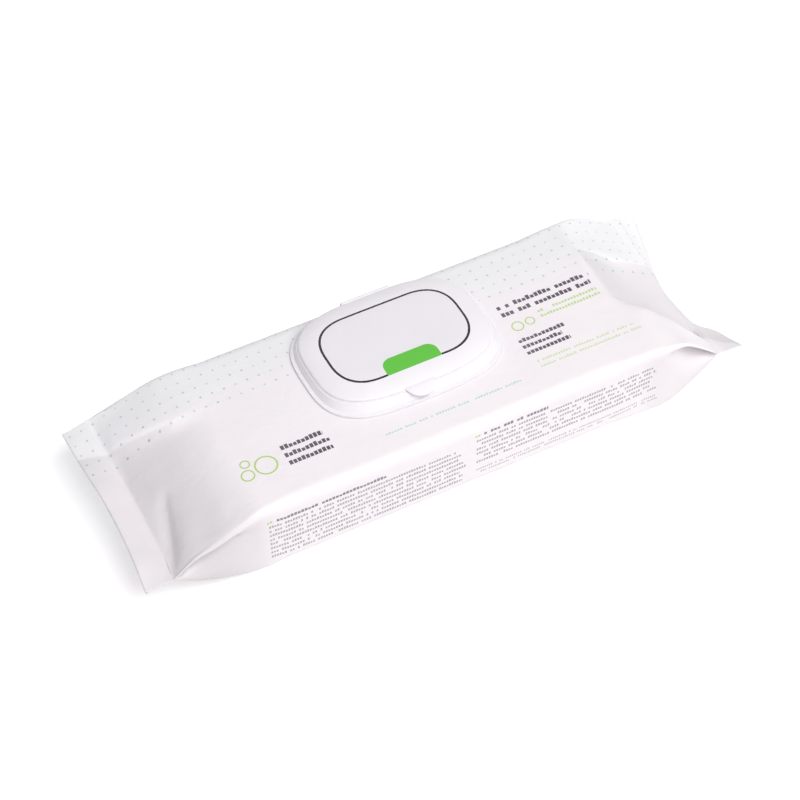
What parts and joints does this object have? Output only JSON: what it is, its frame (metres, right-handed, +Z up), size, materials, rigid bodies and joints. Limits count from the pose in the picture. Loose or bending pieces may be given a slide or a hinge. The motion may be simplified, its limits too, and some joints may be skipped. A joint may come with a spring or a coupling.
{
  "type": "wet wipes pack",
  "caption": "Soft flow-wrapped pack of folded wet wipes with crimped, gusseted ends and a white moulded flip lid hinged at its back edge over the dispensing window.",
  "frame": {"origin": "middle of the underside, on the surface the pack lies on", "axes": "+X along the pack towards its right end seal, +Y across it towards the lid's hinge, +Z up through the lid"},
  "size_m": [0.324, 0.102, 0.0521],
  "materials": {
    "printed_film": "white printed film, soft gloss",
    "wet_nonwoven": "damp white nonwoven",
    "lid_plastic": "white moulded polypropylene, satin gloss"
  },
  "bodies": {
    "pack": {"film_wrap": "printed_film", "wipes_stack": "wet_nonwoven", "lid_frame": "lid_plastic"},
    "lid": {"lid_flap": "lid_plastic"}
  },
  "joints": [
    {"name": "lid_hinge", "type": "hinge", "parent": "pack", "child": "lid", "pos_m": [0, 0.04485, 0.0497], "axis": [-1, 0, 0], "range_deg": [0, 125]}
  ]
}
